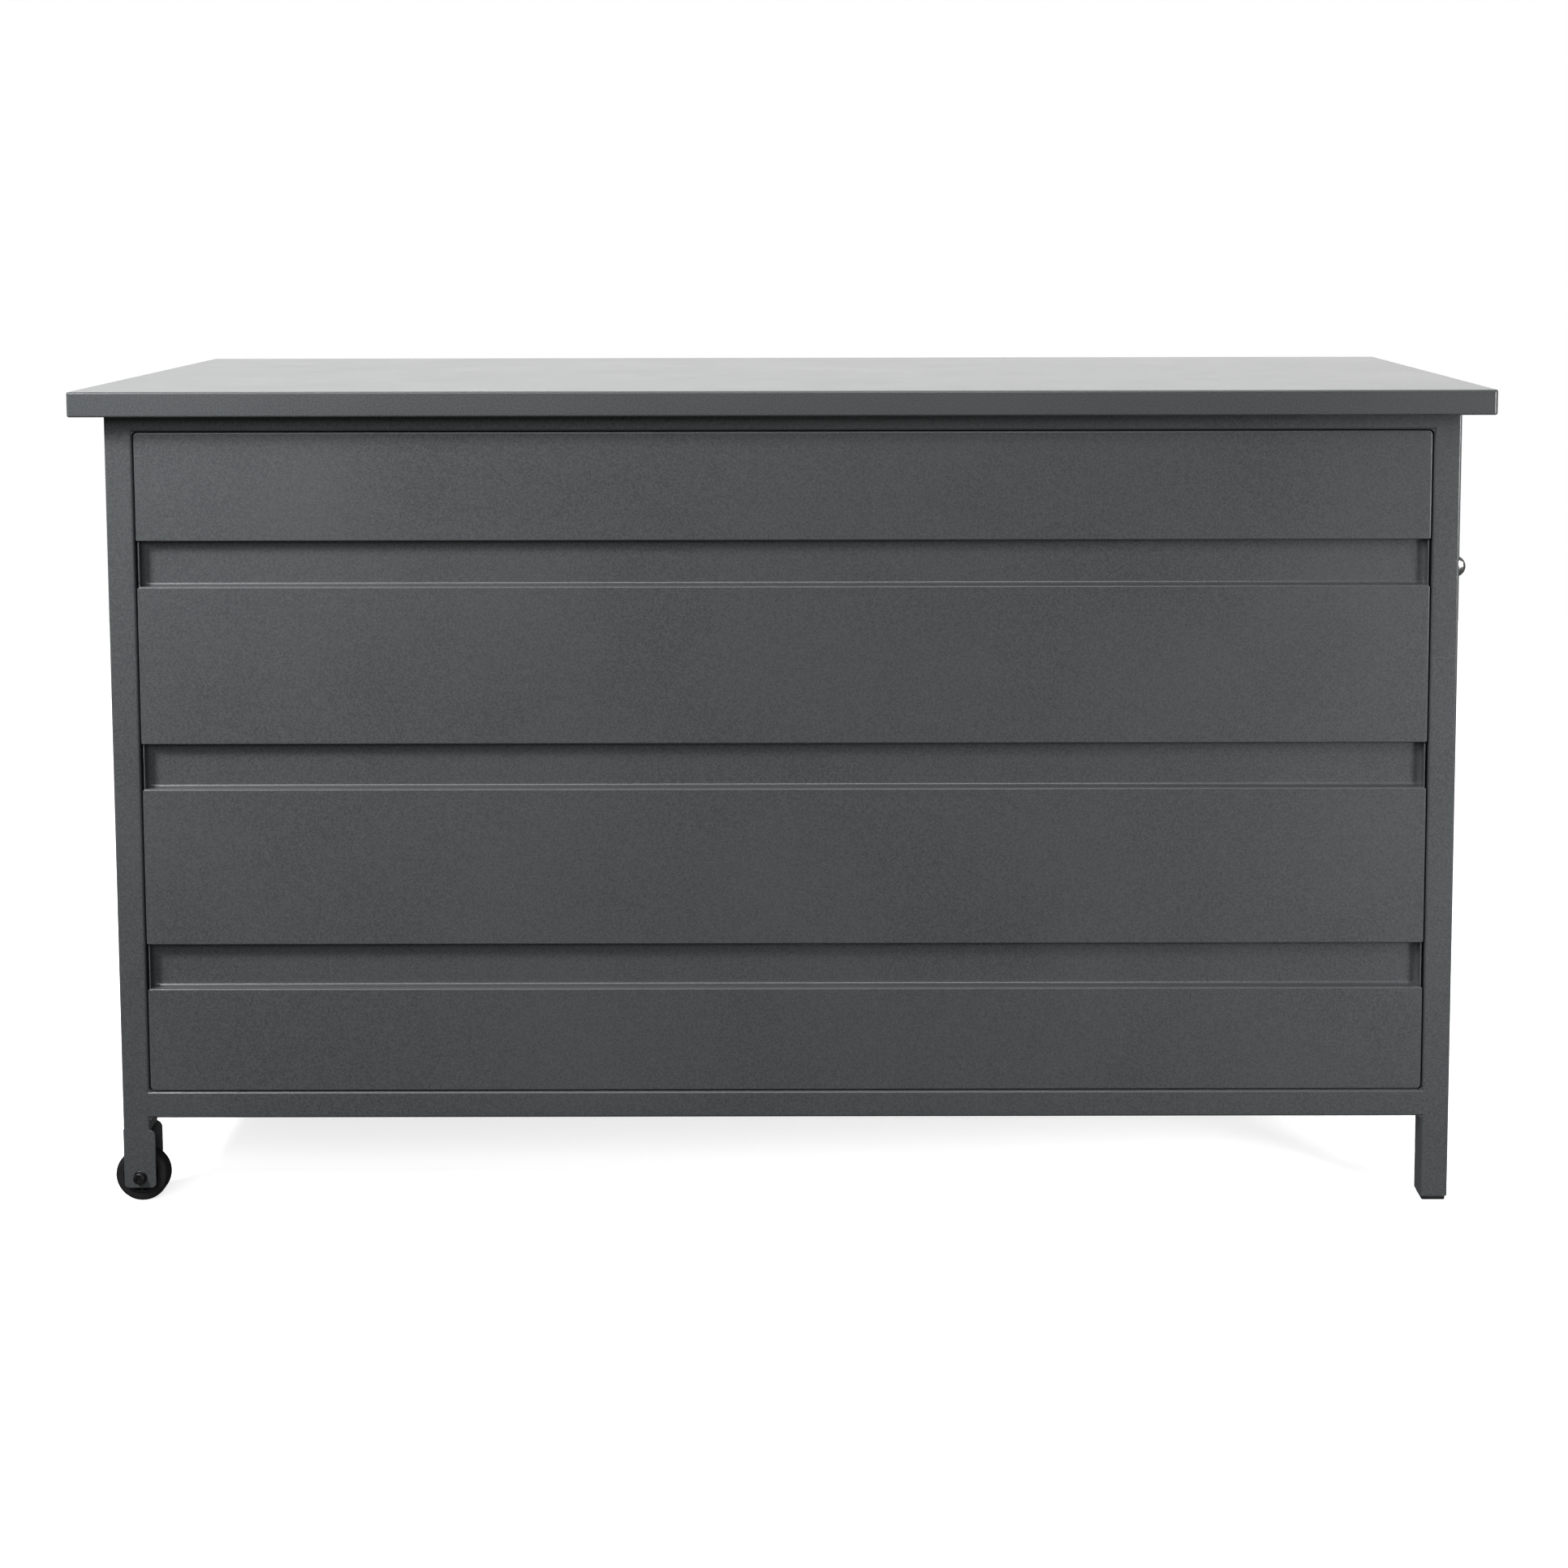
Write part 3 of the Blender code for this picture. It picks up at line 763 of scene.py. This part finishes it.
def wheel(end):
    """A solid rubber tyre with a mould line, on a ribbed plastic hub."""
    low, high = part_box(f"wheel_{end}_tyre")
    centre = (low + high) / 2
    half = (high.y - low.y) / 2
    radius = (high.z - low.z) / 2
    inner = half - TYRE_SHOULDER
    shoulder = radius - TYRE_SHOULDER
    stations = [(half, RIM_RADIUS + MOULD_LINE)]
    stations += shoulder_stations(inner, shoulder, TYRE_SHOULDER, 0.0)
    stations += [(MOULD_LINE, radius), (0.0, radius - MOULD_LINE), (-MOULD_LINE, radius)]
    stations += shoulder_stations(-inner, shoulder, TYRE_SHOULDER, math.pi / 2)
    stations += [(-half, RIM_RADIUS + MOULD_LINE)]
    body = f"wheel_{end}"
    tyre = turned(stations, centre, (0, 1, 0), steps=72, ring=True)
    piece(f"moulded_wheel_{end}_tyre", tyre, "tyre_rubber", body, [f"wheel_{end}_tyre"])
    hub_low, hub_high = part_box(f"wheel_{end}_hub")
    boss = (hub_high.y - hub_low.y) / 2
    rim = half - RIM_RECESS
    profile = (
        (boss, BORE_RADIUS),
        (boss, BOSS_RADIUS - BOSS_EDGE),
        (boss - BOSS_EDGE, BOSS_RADIUS),
        (WEB_HALF, BOSS_RADIUS + MOULD_DRAFT),
        (WEB_HALF, RIM_RADIUS - RIM_WALL - MOULD_DRAFT),
        (rim, RIM_RADIUS - RIM_WALL),
        (rim, RIM_RADIUS),
    )
    mirrored = [(-along, out) for along, out in reversed(profile)]
    parts = [turned([*profile, *mirrored], centre, (0, 1, 0), steps=64, ring=True)]
    for step in range(HUB_RIBS):
        rib = box_mesh((BOSS_RADIUS, -rim, -RIB_WIDTH / 2), (RIM_RADIUS - RIM_WALL, rim, RIB_WIDTH / 2))
        turn = Matrix.Rotation(2 * math.pi * step / HUB_RIBS, 4, "Y")
        bmesh.ops.transform(rib, matrix=Matrix.Translation(centre) @ turn, verts=rib.verts)
        parts.append(rib)
    piece(f"moulded_wheel_{end}_hub", joined(parts), "black_plastic", body, [f"wheel_{end}_hub"])


def axle(end):
    """A flanged socket-head bolt from the outside, and a hexagon nut on the inner cheek."""
    node = f"axle_bolt_{end}"
    low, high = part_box(node)
    fork_low, fork_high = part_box(f"wheel_fork_{end}")
    outward = -1 if end == "front" else 1
    face = fork_low.y if end == "front" else fork_high.y
    tip = low.y if end == "front" else high.y
    tail = high.y if end == "front" else low.y
    x = (low.x + high.x) / 2
    z = (low.z + high.z) / 2
    head = abs(tip - face)
    shank = abs(tail - face)
    stations = (
        (-shank, BOLT_RADIUS - THREAD_CHAMFER),
        (THREAD_CHAMFER - shank, BOLT_RADIUS),
        (SEAT_GAP, BOLT_RADIUS),
        (SEAT_GAP, BOLT_FLANGE_RADIUS),
        (BOLT_FLANGE - FLANGE_EDGE, BOLT_FLANGE_RADIUS),
        (BOLT_FLANGE, BOLT_FLANGE_RADIUS - FLANGE_EDGE),
        (BOLT_FLANGE, BOLT_HEAD_RADIUS),
        (head - HEAD_EDGE, BOLT_HEAD_RADIUS),
        (head, BOLT_HEAD_RADIUS - HEAD_EDGE),
        (head, hexagon(SOCKET_RADIUS)),
        (head - SOCKET_DEPTH, hexagon(SOCKET_RADIUS)),
    )
    bolt = turned(stations, (x, face, z), (0, outward, 0), steps=48)
    piece("turned_" + node, bolt, "black_steel", "cabinet", [node])
    inner_face = fork_high.y if end == "front" else fork_low.y
    nut_stations = (
        (SEAT_GAP, hexagon(NUT_RADIUS)),
        (NUT_HEIGHT - NUT_CHAMFER, hexagon(NUT_RADIUS)),
        (NUT_HEIGHT, NUT_FACE_RADIUS),
        (NUT_HEIGHT, BOLT_RADIUS),
        (NUT_HEIGHT + THREAD_END, BOLT_RADIUS),
        (NUT_HEIGHT + THREAD_END + THREAD_CHAMFER, BOLT_RADIUS - THREAD_CHAMFER),
    )
    nut = turned(nut_stations, (x, inner_face, z), (0, -outward, 0), steps=48)
    piece(f"axle_nut_{end}", nut, "black_steel", "cabinet")


def glide(end):
    """The moulded insert under a right-hand leg."""
    node = f"foot_glide_{end}"
    low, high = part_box(node)
    leg_low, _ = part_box(f"leg_{end}_right")
    bm = box_mesh(low, (high.x, high.y, leg_low.z))
    round_off(bm, folds(bm), GLIDE_EDGE)
    piece("moulded_" + node, bm, "black_plastic", "cabinet", [node])


def handle():
    """A polished bar with crowned ends on two turned posts."""
    low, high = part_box("handle_bar")
    centre = (low + high) / 2
    radius = (high.z - low.z) / 2
    half = (high.y - low.y) / 2
    crown = []
    for step in range(CROWN_STEPS + 1):
        angle = CROWN_START + (math.pi / 2 - CROWN_START) * step / CROWN_STEPS
        crown.append((half - CROWN * (1 - math.cos(angle)), radius * math.sin(angle)))
    stations = [*crown, *[(-along, out) for along, out in reversed(crown)]]
    bar = turned(stations, centre, (0, 1, 0), steps=64)
    piece("polished_handle_bar", bar, "stainless", "cabinet", ["handle_bar"])
    for end in ("front", "rear"):
        node = f"handle_post_{end}"
        post_low, post_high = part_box(node)
        at = (post_low.x, (post_low.y + post_high.y) / 2, (post_low.z + post_high.z) / 2)
        reach = post_high.x - post_low.x
        stations = [(0.0, POST_FOOT_RADIUS), (POST_FOOT - FOOT_EDGE, POST_FOOT_RADIUS)]
        stations += [(POST_FOOT, POST_FOOT_RADIUS - FOOT_EDGE), (POST_FOOT, POST_RADIUS + FOOT_FILLET)]
        stations += [(POST_FOOT + FOOT_FILLET, POST_RADIUS), (reach, POST_RADIUS)]
        post = turned(stations, at, (1, 0, 0), steps=48)
        piece("turned_" + node, post, "stainless", "cabinet", [node])


# ---------------------------------------------------------------- studio


def area_light(name, place, target, size, power, spread_angle):
    light = bpy.data.lights.new(name, "AREA")
    light.shape = "RECTANGLE"
    light.size, light.size_y = size
    light.energy = power
    light.spread = math.radians(spread_angle)
    obj = bpy.data.objects.new(name, light)
    bpy.context.scene.collection.objects.link(obj)
    obj.location = place
    obj.rotation_euler = (Vector(target) - Vector(place)).to_track_quat("-Z", "Y").to_euler()
    obj.visible_camera = False


def studio():
    """A pale floor in a white room, lit by soft boxes."""
    bm = bmesh.new()
    bmesh.ops.create_grid(bm, x_segments=1, y_segments=1, size=FLOOR_SIZE)
    mesh = bpy.data.meshes.new("floor")
    bm.to_mesh(mesh)
    bm.free()
    floor = bpy.data.objects.new("floor", mesh)
    bpy.context.scene.collection.objects.link(floor)
    material, _, shader = principled("floor_paper", (0.88, 0.88, 0.88), 0.9)
    shader.inputs["Emission Color"].default_value = (1, 1, 1, 1)
    shader.inputs["Emission Strength"].default_value = FLOOR_GLOW
    mesh.materials.append(material)
    floor.visible_diffuse = False
    floor.visible_glossy = False
    world = bpy.data.worlds.new("white_room")
    world.use_nodes = True
    background = world.node_tree.nodes["Background"]
    background.inputs["Color"].default_value = (1, 1, 1, 1)
    tree = world.node_tree
    place = tree.nodes.new("ShaderNodeTexCoord")
    height = tree.nodes.new("ShaderNodeSeparateXYZ")
    room = tree.nodes.new("ShaderNodeMapRange")
    room.inputs["From Min"].default_value = -0.1
    room.inputs["From Max"].default_value = 0.1
    room.inputs["To Min"].default_value = ROOM_BELOW
    room.inputs["To Max"].default_value = ROOM_ABOVE
    rays = tree.nodes.new("ShaderNodeLightPath")
    shown = tree.nodes.new("ShaderNodeMath")
    shown.operation = "MAXIMUM"
    tree.links.new(place.outputs["Generated"], height.inputs["Vector"])
    tree.links.new(height.outputs["Z"], room.inputs["Value"])
    tree.links.new(room.outputs["Result"], shown.inputs[0])
    tree.links.new(rays.outputs["Is Camera Ray"], shown.inputs[1])
    tree.links.new(shown.outputs[0], background.inputs["Strength"])
    bpy.context.scene.world = world
    for soft_box in SOFT_BOXES:
        area_light(*soft_box)
    bpy.context.scene.view_settings.view_transform = "Standard"


def camera():
    data = bpy.data.cameras.new("camera")
    obj = bpy.data.objects.new("camera", data)
    bpy.context.scene.collection.objects.link(obj)
    tilt = Matrix.Rotation(math.radians(90 + CAMERA_PITCH), 4, "X")
    roll = Matrix.Rotation(math.radians(CAMERA_ROLL), 4, "Z")
    obj.matrix_world = Matrix.Translation(CAMERA_PLACE) @ tilt @ roll
    data.lens = CAMERA_LENS
    data.sensor_width = 36
    data.shift_x, data.shift_y = CAMERA_SHIFT
    bpy.context.scene.camera = obj


# ---------------------------------------------------------------- assembly

for node in ("base_pan", "worktop_bearer_left", "worktop_bearer_middle", "worktop_bearer_right"):
    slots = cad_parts[node].material_slots
    slots[0].material = MATERIALS["body_paint"]

frame_tubes()
weld_fillets()
skin_panel("side_panel_left", (-1, 0, 0))
skin_panel("side_panel_right", (1, 0, 0))
skin_panel("rear_panel", (0, 1, 0))
worktop()
for number in (1, 2, 3, 4):
    drawer_front(number)
    tray(number)
    for side in ("left", "right"):
        slide(number, side)
for end in ("front", "rear"):
    fork(end)
    wheel(end)
    axle(end)
    glide(end)
handle()
studio()
camera()
